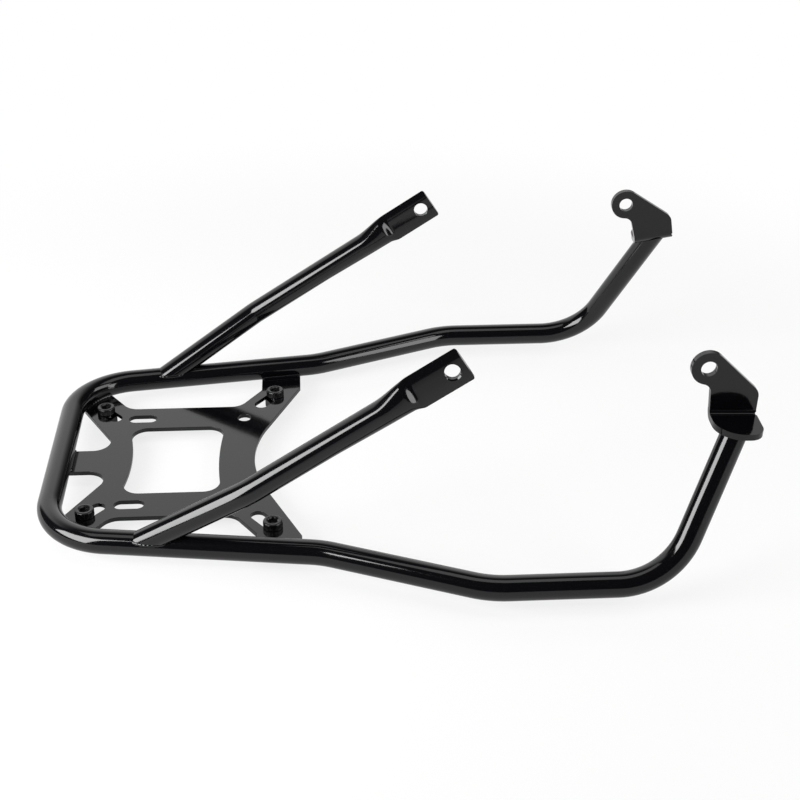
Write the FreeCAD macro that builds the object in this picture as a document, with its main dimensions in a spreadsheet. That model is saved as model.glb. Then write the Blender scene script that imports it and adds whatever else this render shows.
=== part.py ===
"""Motorcycle luggage rack: a bent hoop tube, two flattened stays, a slotted carrier plate,
two folded front brackets and four slot screws with their nuts.

Millimetres.  X points forward along the rack, Y to its left, Z up, and the rack is symmetric
about Y = 0.  The origin lies midway between the plate's two round holes, on its upper face.
The rack lies the way it is laid on a bench: plate and hoop down, mounting eyes up.
"""
import FreeCAD, Part
import math
import os
import Sketcher

Vector = FreeCAD.Vector
Rotation = FreeCAD.Rotation
SIDES = {"left": 1, "right": -1}

SIZES = [
    ("tube_dia", 16.0, "outer diameter of hoop and stays"),
    ("tube_wall", 2.0, "wall of hoop and stays; a flattened end is two walls thick"),
    ("plate_thick", 3.0, "carrier plate sheet"),
    ("rear_reach", 123.7, "round holes back to the rear tube's axis"),
    ("rear_half", 98.5, "half width between the hoop's rear corners"),
    ("rear_bend", 46.0, "bend radius of the rear corners, on the axis"),
    ("flare_start", 53.3, "round holes forward to the outward bend"),
    ("flare_start_half", 123.4, "half width at the outward bend"),
    ("flare_end", 153.8, "round holes forward to the inward bend"),
    ("flare_end_half", 166.0, "half width over the front runs"),
    ("flare_bend", 75.0, "bend radius of both shallow bends"),
    ("rise_start", 263.3, "round holes forward to the upward bend"),
    ("rise_bend", 47.0, "bend radius of the upward bend"),
    ("stay_root", -61.7, "round holes to the stay's root"),
    ("stay_bend_x", 8.3, "round holes forward to the stay's bend"),
    ("stay_bend_z", 50.6, "height of the stay's bend"),
    ("stay_bend", 60.0, "bend radius of the stay"),
    ("stay_seat", 5.0, "hoop's axis up to the level cut of the stay's root"),
    ("stay_half", 122.6, "half width between the flattened stay ends"),
    ("stay_hole_x", 131.7, "round holes forward to the stay holes"),
    ("stay_hole_z", 132.0, "height of the stay holes"),
    ("flat_width", 22.6, "width of the flattened end"),
    ("flat_length", 34.0, "length of the flattened end"),
    ("flat_taper", 22.0, "length over which round becomes flat"),
    ("stay_hole_edge", 9.0, "stay hole to the end of the tube"),
    ("eye_hole", 9.8, "bolt holes of stays and brackets"),
    ("eye_x", 283.3, "round holes forward to the bracket eyes"),
    ("eye_half", 125.6, "half width between the bracket eyes"),
    ("eye_z", 131.6, "height of the bracket eyes"),
    ("eye_radius", 10.6, "outer radius of the bracket eye"),
    ("bracket_thick", 4.0, "bracket sheet"),
    ("bracket_bend", 2.5, "inner radius of the bracket's fold"),
    ("bracket_drop", 30.0, "eye down to the foot's upper face"),
    ("bracket_front", 32.4, "eye forward to the bracket's front edge"),
    ("bracket_rear", 3.0, "eye forward to the upright's rear edge"),
    ("bracket_lean", 0.9, "forward lean of the upright's rear edge down to the fold"),
    ("bracket_slope", 42.5, "slope of the bracket's upper edge, in degrees"),
    ("bracket_nose", 8.0, "corner radius at the bracket's upper front"),
    ("bracket_throat", 6.0, "concave radius below the eye"),
    ("foot_reach", 25.5, "width of the foot outside the upright"),
    ("foot_rear_corner", 17.0, "radius of the foot's outer rear corner"),
    ("foot_front_corner", 9.0, "radius of the foot's outer front corner"),
    ("relief_radius", 0.9, "bend relief at the front of the fold"),
    ("seat_out", 7.9, "bracket's upright out to the riser's axis, under the foot"),
    ("left_seat", 17.2, "left eye forward to the riser's axis, under the foot"),
    ("right_seat", 20.7, "right eye forward to the riser's axis, under the foot"),
    ("left_turn", 9.5, "left bracket's turn as welded, nose up, in degrees"),
    ("right_turn", -1.5, "right bracket's turn as welded, nose up, in degrees"),
    ("tab_half", 13.5, "half width of the plate's rear tab"),
    ("notch_tip", 38.4, "rear tube's axis forward to the corner of the rear notch"),
    ("arm_rear_x", -2.4, "rear arm, rear edge carried on past the hoop, from the rear tube's axis"),
    ("arm_rear_y", 87.4, "rear arm, rear edge carried on past the hoop"),
    ("arm_front_x", 8.9, "rear arm, front edge carried on past the hoop, from the rear tube's axis"),
    ("arm_front_y", 114.1, "rear arm, front edge carried on past the hoop"),
    ("notch_round", 11.5, "radius of the rear notch"),
    ("waist_half", 70.2, "half width of the plate between its arms"),
    ("waist_rear", 39.5, "rear tube's axis forward to the rear end of the straight waist"),
    ("waist_front", -3.7, "front end of the straight waist"),
    ("waist_round", 12.0, "radius where the waist meets an arm"),
    ("fore_arm_rear", 12.0, "front arm's end, rear edge"),
    ("fore_arm_front", 40.8, "front arm's end, front edge"),
    ("fore_arm_knee", 94.0, "half width where the front arm turns outwards"),
    ("fore_arm_elbow", 97.0, "half width where the front arm's front edge turns"),
    ("front_edge_x", 17.3, "ends of the curved front edge"),
    ("front_edge_y", 42.0, "ends of the curved front edge"),
    ("front_curve", 105.0, "radius of the curved front edge"),
    ("corner_round", 2.0, "small outer corners of the plate"),
    ("weld_inset", 5.0, "plate ends short of the hoop's axis"),
    ("open_rear", 42.1, "rear tube's axis forward to the rear corners of the middle opening"),
    ("open_front", -12.9, "front corners of the middle opening"),
    ("open_half", 42.3, "half width of the middle opening"),
    ("open_bow_rear", 168.0, "radius of the opening's bowed rear side"),
    ("open_bow_front", 282.0, "radius of the opening's bowed front side"),
    ("open_round", 11.0, "corner radius of the middle opening"),
    ("slot_width", 9.6, "width of all slots and diameter of the round holes"),
    ("slot_back", 50.5, "rear tube's axis forward to the middle of the long slots"),
    ("slot_span", 10.4, "between the end centres of a long slot"),
    ("slot_half", 55.6, "half distance between the long slots"),
    ("round_hole_half", 54.0, "half distance between the two round holes"),
    ("rear_slot_in_x", 30.5, "rear slant slot, inner end centre, from the rear tube's axis"),
    ("rear_slot_in_y", 57.8, "rear slant slot, inner end centre"),
    ("rear_slot_out_x", 23.0, "rear slant slot, outer end centre, from the rear tube's axis"),
    ("rear_slot_out_y", 66.6, "rear slant slot, outer end centre"),
    ("fore_slot_in_x", 12.0, "front slant slot, inner end centre"),
    ("fore_slot_in_y", 72.6, "front slant slot, inner end centre"),
    ("fore_slot_out_x", 22.0, "front slant slot, outer end centre"),
    ("fore_slot_out_y", 85.9, "front slant slot, outer end centre"),
    ("screw_dia", 8.0, "slot screw thread"),
    ("screw_head_dia", 13.2, "slot screw head"),
    ("screw_head_height", 5.0, "slot screw head"),
    ("screw_tail", 1.6, "thread standing out of the nut"),
    ("socket_across", 6.0, "hexagon socket across flats"),
    ("socket_depth", 2.6, "hexagon socket depth"),
    ("nut_across", 13.0, "nut across flats"),
    ("nut_height", 6.5, "nut height"),
    ("nut_clearance", 0.05, "radial clearance of the nut round its screw"),
]


class Size:
    """A number together with the spreadsheet expression that it comes from."""

    def __init__(self, value, text):
        self.value = value
        self.text = text

    def join(self, other, mark, value):
        text = other.text if isinstance(other, Size) else repr(float(other))
        return Size(value, "(%s %s %s)" % (self.text, mark, text))

    def __add__(self, other):
        return self.join(other, "+", self.value + float(other))

    def __sub__(self, other):
        return self.join(other, "-", self.value - float(other))

    def __mul__(self, other):
        return self.join(other, "*", self.value * float(other))

    def __truediv__(self, other):
        return self.join(other, "/", self.value / float(other))

    def __neg__(self):
        return self * -1.0

    def sine(self):
        return Size(math.sin(math.radians(self.value)), "sin(%s * 1 deg)" % self.text)

    def cosine(self):
        return Size(math.cos(math.radians(self.value)), "cos(%s * 1 deg)" % self.text)

    def root(self):
        return Size(math.sqrt(self.value), "sqrt(%s)" % self.text)

    def __float__(self):
        return float(self.value)


doc = FreeCAD.newDocument("luggage_rack")
sheet = doc.addObject("Spreadsheet::Sheet", "sizes")
for line, (alias, value, note) in enumerate(SIZES, start=1):
    sheet.set("A%d" % line, alias)
    sheet.set("B%d" % line, repr(value))
    sheet.set("C%d" % line, note)
    sheet.setAlias("B%d" % line, alias)
doc.recompute()


def size(alias):
    return Size(float(sheet.get(alias)), "sizes." + alias)


def number(alias):
    return float(sheet.get(alias))


def bind(obj, prop, dim):
    obj.setExpression(prop, dim.text)


# Shared heights and places worked out from the driving sizes

tube_radius = size("tube_dia") / 2
plate_bottom = -size("plate_thick")
axis_z = tube_radius - size("plate_thick")


def mirrored(point, sign):
    return Vector(point[0], sign * point[1], point[2])


def side_half(x):
    """Half width of the hoop's axis at x, along its rear side run."""
    rear_x = -number("rear_reach")
    slope = (number("flare_start_half") - number("rear_half")) / (number("flare_start") - rear_x)
    return number("rear_half") + slope * (x - rear_x)


def helper_shape(name, shape):
    """Helper shape worked out from the sheet: a path, a section or a room."""
    helper = doc.addObject("Part::Feature", name)
    helper.Shape = shape
    return helper


def cut_object(name, base, tool):
    cut = doc.addObject("Part::Cut", name)
    cut.Base = base
    cut.Tool = tool
    return cut


def fuse_object(name, pieces):
    joined = doc.addObject("Part::MultiFuse", name)
    joined.Shapes = pieces
    joined.Refine = True
    return joined


def bent_path(points, radii):
    """Wire of straight runs joined by tangent arcs, one radius for each inner point."""
    edges = []
    start = points[0]
    for before, corner, after, radius in zip(points, points[1:], points[2:], radii):
        to_before = (before - corner).normalize()
        to_after = (after - corner).normalize()
        half_angle = to_before.getAngle(to_after) / 2
        cut_back = radius / math.tan(half_angle)
        bisector = (to_before + to_after).normalize()
        arc_start = corner + to_before * cut_back
        arc_middle = corner + bisector * (radius / math.sin(half_angle) - radius)
        arc_end = corner + to_after * cut_back
        edges.append(Part.LineSegment(start, arc_start).toShape())
        edges.append(Part.Arc(arc_start, arc_middle, arc_end).toShape())
        start = arc_end
    edges.append(Part.LineSegment(start, points[-1]).toShape())
    return Part.Wire(edges)


def bent_tube(name, points, radii):
    """Tube of runs and tangent bends; both its ends are closed in the rack, so it is drawn filled."""
    path = helper_shape(name + "_path", bent_path(points, radii))
    first = path.Shape.OrderedEdges[0]
    ring = doc.addObject("Part::Circle", name + "_ring")
    bind(ring, "Radius", tube_radius)
    direction = first.tangentAt(first.FirstParameter)
    ring.Placement = FreeCAD.Placement(first.valueAt(first.FirstParameter), Rotation(Vector(0, 0, 1), direction))
    rod = doc.addObject("Part::Sweep", name)
    rod.Sections = [ring]
    rod.Spine = (path, ["Edge%d" % (i + 1) for i in range(len(path.Shape.Edges))])
    rod.Solid = True
    return rod


# Brackets: their seat comes first, because the hoop's ends are cut to it

def bracket_placement(side):
    sign = SIDES[side]
    eye = Vector(number("eye_x"), sign * number("eye_half"), number("eye_z"))
    return FreeCAD.Placement(eye, Rotation(Vector(0, 1, 0), -number(side + "_turn")))


foot_top = -size("bracket_drop")
foot_bottom = foot_top - size("bracket_thick")


def riser_end(side):
    """Point on the riser's axis a tube's width past its seat under the bracket's foot."""
    sign = SIDES[side]
    local = Vector(number(side + "_seat"), sign * number("seat_out"), foot_bottom.value)
    seat = bracket_placement(side).multVec(local)
    bend = mirrored((number("rise_start"), number("flare_end_half"), axis_z.value), sign)
    return seat + (seat - bend).normalize() * number("tube_dia")


def hoop_points():
    half = [
        (-number("rear_reach"), number("rear_half"), axis_z.value),
        (number("flare_start"), number("flare_start_half"), axis_z.value),
        (number("flare_end"), number("flare_end_half"), axis_z.value),
        (number("rise_start"), number("flare_end_half"), axis_z.value),
    ]
    left = [mirrored(p, 1) for p in half] + [riser_end("left")]
    right = [mirrored(p, -1) for p in half] + [riser_end("right")]
    return right[::-1] + left


hoop_radii = [number("rise_bend"), number("flare_bend"), number("flare_bend"), number("rear_bend")]
hoop_rod = bent_tube("hoop", hoop_points(), hoop_radii + hoop_radii[::-1])
hoop = hoop_rod
TRIM_MARGIN = 3.0
for side, sign in SIDES.items():
    trim = doc.addObject("Part::Box", side + "_hoop_trim")
    bind(trim, "Length", size("bracket_front") * TRIM_MARGIN)
    bind(trim, "Width", size("foot_reach") * TRIM_MARGIN)
    bind(trim, "Height", size("bracket_drop") * TRIM_MARGIN)
    corner = Vector(-number("bracket_front"), -number("foot_reach") * TRIM_MARGIN / 2, foot_bottom.value)
    seat = bracket_placement(side)
    trim.Placement = FreeCAD.Placement(seat.multVec(corner), seat.Rotation)
    hoop = cut_object(side + "_hoop_end", hoop, trim)
hoop.Label = "hoop_tube"
parts = [hoop]


# Stays: a bent tube, coped on to the hoop and pressed flat at its upper end

def stay_frame():
    """Bend point and unit direction of the front run, left side."""
    bend = Vector(number("stay_bend_x"), number("stay_half"), number("stay_bend_z"))
    hole = Vector(number("stay_hole_x"), number("stay_half"), number("stay_hole_z"))
    return bend, hole, (hole - bend).normalize()


def round_section(placement, radius):
    """Circle of eight arcs, so that it lofts cleanly on to the flat section."""
    corners = [radius * Vector(math.cos(a), math.sin(a), 0) for a in section_angles()]
    middles = [radius * Vector(math.cos(a), math.sin(a), 0) for a in section_middles()]
    return section_wire(corners, middles, placement)


def section_angles():
    return [math.radians(a) for a in (45, 90, 135, 180, 225, 270, 315, 360)]


def section_middles():
    return [a + math.radians(22.5) for a in section_angles()]


def section_wire(corners, middles, placement):
    edges = []
    for i, middle in enumerate(middles):
        first, last = corners[i], corners[(i + 1) % len(corners)]
        bulge = (middle - first).cross(last - first).Length
        line = Part.LineSegment(first, last)
        edges.append((Part.Arc(first, middle, last) if bulge > 1e-6 else line).toShape())
    wire = Part.Wire(edges)
    wire.Placement = placement
    return wire


def flat_section(placement, width, thick):
    """Pressed tube: two flats and two half-round edges, with the corners of the round section."""
    end = thick / 2
    flat = width / 2 - end
    corners = [Vector(flat, end, 0), Vector(0, end, 0), Vector(-flat, end, 0), Vector(-flat - end, 0, 0),
               Vector(-flat, -end, 0), Vector(0, -end, 0), Vector(flat, -end, 0), Vector(flat + end, 0, 0)]
    bow = end * math.sqrt(0.5)
    middles = [Vector(flat / 2, end, 0), Vector(-flat / 2, end, 0), Vector(-flat - bow, bow, 0),
               Vector(-flat - bow, -bow, 0), Vector(-flat / 2, -end, 0), Vector(flat / 2, -end, 0),
               Vector(flat + bow, -bow, 0), Vector(flat + bow, bow, 0)]
    return section_wire(corners, middles, placement)


def across(point, direction):
    """Placement whose Z runs along the stay, X up across it and Y sideways."""
    up = Vector(0, 1, 0).cross(direction).normalize()
    return FreeCAD.Placement(point, Rotation(-up, Vector(0, -1, 0), direction, "ZXY"))


SEAT_MARGIN = 3.0


def make_stay(side):
    """Bent tube, flat end and hole, cut level with the hoop's axis and coped round the hoop."""
    sign = SIDES[side]
    bend, hole, run = stay_frame()
    tip = hole + run * number("stay_hole_edge")
    flat_start = tip - run * number("flat_length")
    round_end = flat_start - run * number("flat_taper")
    root = Vector(number("stay_root"), side_half(number("stay_root")), axis_z.value)
    points = [mirrored(p, sign) for p in (root, bend, round_end)]
    rod = bent_tube(side + "_stay_rod", points, [number("stay_bend")])
    sections = []
    thick = number("tube_wall") * 2
    radius = number("tube_dia") / 2
    places = [across(mirrored(p, sign), run) for p in (round_end, flat_start, tip)]
    wires = [round_section(places[0], radius), flat_section(places[1], number("flat_width"), thick),
             flat_section(places[2], number("flat_width"), thick)]
    for i, wire in enumerate(wires):
        sections.append(helper_shape("%s_stay_section_%d" % (side, i + 1), wire))
    taper = doc.addObject("Part::Loft", side + "_stay_taper")
    taper.Sections = sections[:2]
    taper.Solid = True
    blade = doc.addObject("Part::Loft", side + "_stay_blade")
    blade.Sections = sections[1:]
    blade.Solid = True
    blade.Ruled = True
    drill = doc.addObject("Part::Cylinder", side + "_stay_drill")
    bind(drill, "Radius", size("eye_hole") / 2)
    bind(drill, "Height", size("tube_dia"))
    start = mirrored(hole, sign) - Vector(0, number("tube_dia") / 2, 0)
    drill.Placement = FreeCAD.Placement(start, Rotation(Vector(0, 0, 1), Vector(0, 1, 0)))
    joined = fuse_object(side + "_stay_joined", [rod, taper, blade])
    drilled = cut_object(side + "_stay_drilled", joined, drill)
    seat = doc.addObject("Part::Box", side + "_stay_seat")
    for extent in ("Length", "Width", "Height"):
        bind(seat, extent, size("tube_dia") * SEAT_MARGIN)
    half_block = number("tube_dia") * SEAT_MARGIN / 2
    seat.Placement.Base = points[0] - Vector(half_block, half_block, 2 * half_block - number("stay_seat"))
    seated = cut_object(side + "_stay_seated", drilled, seat)
    stay = cut_object(side + "_stay_coped", seated, hoop_rod)
    stay.Label = side + "_stay"
    return stay


for side in SIDES:
    parts.append(make_stay(side))


# Sketch helpers: every point is fixed by its two distances from the origin

def fix_point(sketch, geometry, end, x, y):
    for kind, dim in (("DistanceX", x), ("DistanceY", y)):
        index = sketch.addConstraint(Sketcher.Constraint(kind, -1, 1, geometry, end, float(dim)))
        sketch.setExpression("Constraints[%d]" % index, dim.text)


def fix_radius(sketch, geometry, dim):
    index = sketch.addConstraint(Sketcher.Constraint("Radius", geometry, float(dim)))
    sketch.setExpression("Constraints[%d]" % index, dim.text)


def flat_point(x, y):
    return Vector(float(x), float(y), 0)


def bowed(first, last, radius, towards, major):
    """Arc from first to last with the given radius, bulging towards the given point."""
    a, b = flat_point(*first), flat_point(*last)
    middle = (a + b) * 0.5
    half = (b - a).Length / 2
    depth = math.sqrt(float(radius) ** 2 - half ** 2)
    sag = float(radius) + depth if major else float(radius) - depth
    out = Vector(-(b - a).y, (b - a).x, 0).normalize()
    if out.dot(flat_point(*towards) - middle) < 0:
        out = -out
    return Part.Arc(a, middle + out * sag, b)


def draw_outline(sketch, points, arcs=None, major_arcs=()):
    """Closed outline through points; arcs maps an edge's index to its radius and bulge point."""
    arcs = arcs or {}
    count = len(points)
    for i, point in enumerate(points):
        after = points[(i + 1) % count]
        if i in arcs:
            radius, towards = arcs[i]
            curve = sketch.addGeometry(bowed(point, after, radius, towards, i in major_arcs), False)
            fix_radius(sketch, curve, radius)
            start = flat_point(*point)
            if (sketch.getPoint(curve, 1) - start).Length > 1e-6:
                fix_point(sketch, curve, 2, *point)
                fix_point(sketch, curve, 1, *after)
            else:
                fix_point(sketch, curve, 1, *point)
                fix_point(sketch, curve, 2, *after)
        else:
            edge = sketch.addGeometry(Part.LineSegment(flat_point(*point), flat_point(*after)), False)
            fix_point(sketch, edge, 1, *point)
            fix_point(sketch, edge, 2, *after)


def draw_hole(sketch, x, y, diameter):
    circle = Part.Circle(flat_point(x, y), Vector(0, 0, 1), float(diameter) / 2)
    index = sketch.addGeometry(circle, False)
    fix_point(sketch, index, 3, x, y)
    fix_radius(sketch, index, diameter / 2)


def draw_slot(sketch, first, last, width):
    """Slot round two end centres: two half circles joined by two tangent lines."""
    a, b = flat_point(*first), flat_point(*last)
    radius = float(width) / 2
    along = (b - a).normalize()
    aside = Vector(-along.y, along.x, 0) * radius
    turn = math.atan2(along.y, along.x)
    quarter = math.pi / 2
    axis = Vector(0, 0, 1)
    cap_b = Part.ArcOfCircle(Part.Circle(b, axis, radius), turn - quarter, turn + quarter)
    cap_a = Part.ArcOfCircle(Part.Circle(a, axis, radius), turn + quarter, turn + 3 * quarter)
    end_b = sketch.addGeometry(cap_b, False)
    top = sketch.addGeometry(Part.LineSegment(b + aside, a + aside), False)
    end_a = sketch.addGeometry(cap_a, False)
    low = sketch.addGeometry(Part.LineSegment(a - aside, b - aside), False)
    for one, two in ((end_b, top), (top, end_a), (end_a, low), (low, end_b)):
        sketch.addConstraint(Sketcher.Constraint("Tangent", one, 2, two, 1))
    fix_point(sketch, end_a, 3, *first)
    fix_point(sketch, end_b, 3, *last)
    fix_radius(sketch, end_b, width / 2)


def origin_plane(body, role):
    return [f for f in body.Origin.OriginFeatures if f.Role == role][0]


def new_sketch(body, name, role, lift=None):
    """Sketch on one of the body's own origin planes, lifted off it along its normal."""
    sketch = body.newObject("Sketcher::SketchObject", name)
    sketch.AttachmentSupport = [(origin_plane(body, role), "")]
    sketch.MapMode = "FlatFace"
    if lift is not None:
        sketch.setExpression("AttachmentOffset.Base.z", lift.text)
    return sketch


def pad(body, name, sketch, length, reverse=False):
    feature = body.newObject("PartDesign::Pad", name)
    feature.Profile = sketch
    feature.Reversed = reverse
    bind(feature, "Length", length)
    return feature


def pocket_through(body, name, sketch):
    feature = body.newObject("PartDesign::Pocket", name)
    feature.Profile = sketch
    feature.Type = "ThroughAll"
    feature.SideType = "Symmetric"
    return feature


def pocket_both_ways(body, name, sketch, length):
    feature = body.newObject("PartDesign::Pocket", name)
    feature.Profile = sketch
    feature.SideType = "Symmetric"
    bind(feature, "Length", length)
    return feature


def round_upright_edges(body, name, radius, places):
    """Fillet the edges that stand along the body's pad direction at the given places."""
    doc.recompute()
    base = body.Tip
    names = []
    for i, edge in enumerate(base.Shape.Edges):
        ends = [v.Point for v in edge.Vertexes]
        if len(ends) == 2 and any(place(ends[0]) and place(ends[1]) for place in places):
            names.append("Edge%d" % (i + 1))
    if len(names) != len(places):
        raise RuntimeError("%s: %d edges for %d corners" % (name, len(names), len(places)))
    fillet = body.newObject("PartDesign::Fillet", name)
    fillet.Base = (base, names)
    bind(fillet, "Radius", radius)
    return fillet


def over(x, y):
    """Test for points straight above or below (x, y)."""
    return lambda p: math.hypot(p.x - float(x), p.y - float(y)) < 0.05


def beside(x, z):
    """Test for points straight beside (x, z), along Y."""
    return lambda p: math.hypot(p.x - float(x), p.z - float(z)) < 0.05


def along_x(y, z):
    """Test for points on the line along X at (y, z)."""
    return lambda p: math.hypot(p.y - float(y), p.z - float(z)) < 0.05


# Carrier plate: one laser-cut sheet, its arm ends cut to the hoop's rounding

def both_sides(points):
    """Left-hand points in order, then their mirror images in reverse."""
    return points + [(x, -y) for x, y in reversed(points)]


def inside_hoop():
    """Sheet that fills the hoop up to the weld gap inside its axis, as thick as the plate."""
    half = [(-number("rear_reach"), number("rear_half"), plate_bottom.value),
            (number("flare_start"), number("flare_start_half"), plate_bottom.value),
            (number("flare_end"), number("flare_end_half"), plate_bottom.value)]
    points = [mirrored(p, -1) for p in half[::-1]] + [mirrored(p, 1) for p in half]
    radii = [number("flare_bend"), number("rear_bend"), number("rear_bend"), number("flare_bend")]
    edges = bent_path(points, radii).Edges + [Part.LineSegment(points[-1], points[0]).toShape()]
    face = Part.Face(Part.Wire(edges)).makeOffset2D(-number("weld_inset"))
    return face.extrude(Vector(0, 0, number("plate_thick")))


plate = doc.addObject("PartDesign::Body", "carrier_plate_blank")
past_hoop = size("flare_start_half")


def off_rear_tube(name):
    """Place along X of a size that is measured forward from the rear tube's axis."""
    return size(name) - size("rear_reach")


outline_half = [
    (-size("rear_reach"), size("tab_half")),
    (off_rear_tube("notch_tip"), size("tab_half")),
    (off_rear_tube("arm_rear_x"), size("arm_rear_y")),
    (off_rear_tube("arm_front_x"), size("arm_front_y")),
    (off_rear_tube("waist_rear"), size("waist_half")),
    (size("waist_front"), size("waist_half")),
    (size("fore_arm_rear"), size("fore_arm_knee")),
    (size("fore_arm_rear"), past_hoop),
    (size("fore_arm_front"), past_hoop),
    (size("fore_arm_front"), size("fore_arm_elbow")),
    (size("front_edge_x"), size("front_edge_y")),
]
outline = both_sides(outline_half)
front_arc = len(outline_half) - 1
sketch = new_sketch(plate, "plate_outline", "XY_Plane")
behind_front = (off_rear_tube("waist_rear"), size("waist_rear") * 0)
draw_outline(sketch, outline, {front_arc: (size("front_curve"), behind_front)})
pad(plate, "plate_sheet", sketch, size("plate_thick"), reverse=True)

opening_half = [(off_rear_tube("open_rear"), size("open_half")), (size("open_front"), size("open_half"))]
opening = both_sides(opening_half)
sketch = new_sketch(plate, "plate_opening", "XY_Plane")
middle = ((off_rear_tube("open_rear") + size("open_front")) / 2, size("open_half") * 0)
draw_outline(sketch, opening, {1: (size("open_bow_front"), middle), 3: (size("open_bow_rear"), middle)})
pocket_through(plate, "plate_window", sketch)

SLOT_PLACES = {"rear": off_rear_tube, "fore": size}
sketch = new_sketch(plate, "plate_slots", "XY_Plane")
slot_rear = off_rear_tube("slot_back") - size("slot_span") / 2
slot_front = slot_rear + size("slot_span")
for sign in SIDES.values():
    slot_y = size("slot_half") * sign
    draw_slot(sketch, (slot_rear, slot_y), (slot_front, slot_y), size("slot_width"))
    draw_hole(sketch, size("slot_width") * 0, size("round_hole_half") * sign, size("slot_width"))
    for end, along in SLOT_PLACES.items():
        inner = (along(end + "_slot_in_x"), size(end + "_slot_in_y") * sign)
        outer = (along(end + "_slot_out_x"), size(end + "_slot_out_y") * sign)
        draw_slot(sketch, inner, outer, size("slot_width"))
pocket_through(plate, "plate_slotting", sketch)


def corners(indices):
    return [over(x, sign * float(y)) for x, y in (outline_half[i] for i in indices) for sign in (1, -1)]


round_upright_edges(plate, "plate_notches", size("notch_round"), corners([1]))
round_upright_edges(plate, "plate_waist", size("waist_round"), corners([4, 5]))
round_upright_edges(plate, "plate_corners", size("corner_round"), corners([6, 9]))
window_corners = [over(x, sign * float(y)) for x, y in opening_half for sign in (1, -1)]
round_upright_edges(plate, "plate_window_corners", size("open_round"), window_corners)
trimmed = doc.addObject("Part::Common", "plate_trimmed")
trimmed.Base = plate
trimmed.Tool = helper_shape("plate_room", inside_hoop())
plate_cut = cut_object("plate_seated", trimmed, hoop_rod)
plate_cut.Label = "carrier_plate"
parts.append(plate_cut)


# Front brackets: upright and foot of one folded sheet

def pad_both_ways(body, name, sketch, length):
    feature = pad(body, name, sketch, length)
    feature.SideType = "Symmetric"
    return feature


def upright_outline(sketch):
    """Eye, throat, rear edge, fold line, front edge and sloping upper edge, seen from the side."""
    radius = size("eye_radius")
    throat = size("bracket_throat")
    rear = size("bracket_rear")
    throat_x = rear - throat
    throat_z = -((radius + throat) * (radius + throat) - throat_x * throat_x).root()
    share = radius / (radius + throat)
    low = (throat_x * share, throat_z * share)
    high = (radius * size("bracket_slope").sine(), radius * size("bracket_slope").cosine())
    fall = size("bracket_slope").sine() / size("bracket_slope").cosine()
    front = size("bracket_front")
    nose = (front, high[1] - (front - high[0]) * fall)
    eye_side = (-radius, radius * 0)
    fold_edge = foot_top + size("bracket_bend") * 1.2
    points = [high, low, (rear, throat_z), (fold_rear, fold_edge), (fold_rear, foot_bottom),
              (front, foot_bottom), nose]
    draw_outline(sketch, points, {0: (radius, eye_side), 1: (throat, (radius, -radius))}, {0})
    return nose


fold_rear = size("bracket_rear") + size("bracket_lean")


def make_bracket(side):
    """Folded bracket with its eye at the local origin, its foot turned outwards."""
    sign = SIDES[side]
    body = doc.addObject("PartDesign::Body", side + "_bracket_body")
    body.Label = side + "_front_bracket"
    thick = size("bracket_thick")
    half = thick / 2
    reach = half + size("foot_reach")
    front = size("bracket_front")
    sketch = new_sketch(body, side + "_upright_outline", "XZ_Plane")
    nose = upright_outline(sketch)
    pad_both_ways(body, side + "_upright", sketch, thick)
    sketch = new_sketch(body, side + "_foot_outline", "XY_Plane", foot_bottom)
    foot_points = [(fold_rear, -half * sign), (front, -half * sign), (front, reach * sign), (fold_rear, reach * sign)]
    draw_outline(sketch, foot_points)
    pad(body, side + "_foot", sketch, thick)
    inner_y, outer_y = half * sign, -half * sign
    inner_fold = [along_x(inner_y, foot_top)]
    outer_fold = [along_x(outer_y, foot_bottom)]
    round_upright_edges(body, side + "_inner_fold", size("bracket_bend"), inner_fold)
    round_upright_edges(body, side + "_outer_fold", size("bracket_bend") + thick, outer_fold)
    round_upright_edges(body, side + "_nose", size("bracket_nose"), [beside(*nose)])
    for corner, x in (("rear", fold_rear), ("front", front)):
        radius = size("foot_%s_corner" % corner)
        round_upright_edges(body, "%s_foot_%s_corner" % (side, corner), radius, [over(x, reach * sign)])
    sketch = new_sketch(body, side + "_eye_hole", "XZ_Plane")
    draw_hole(sketch, half * 0, half * 0, size("eye_hole"))
    pocket_both_ways(body, side + "_eye", sketch, thick * 2)
    sketch = new_sketch(body, side + "_relief_hole", "XZ_Plane")
    draw_hole(sketch, front, foot_top, size("relief_radius") * 2)
    pocket_both_ways(body, side + "_relief", sketch, thick + size("bracket_bend") * 2)
    body.Placement = bracket_placement(side)
    return body


for side in SIDES:
    parts.append(make_bracket(side))


# Slot screws with their nuts, one pair at the outer end of each slant slot

def cylinder(name, diameter, height, place):
    solid = doc.addObject("Part::Cylinder", name)
    bind(solid, "Radius", diameter / 2)
    bind(solid, "Height", height)
    solid.Placement = FreeCAD.Placement(place, Rotation())
    return solid


def hexagon(name, across, height, place):
    solid = doc.addObject("Part::Prism", name)
    solid.Polygon = 6
    bind(solid, "Circumradius", across / Size(3.0, "3").root())
    bind(solid, "Height", height)
    solid.Placement = FreeCAD.Placement(place, Rotation())
    return solid


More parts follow.
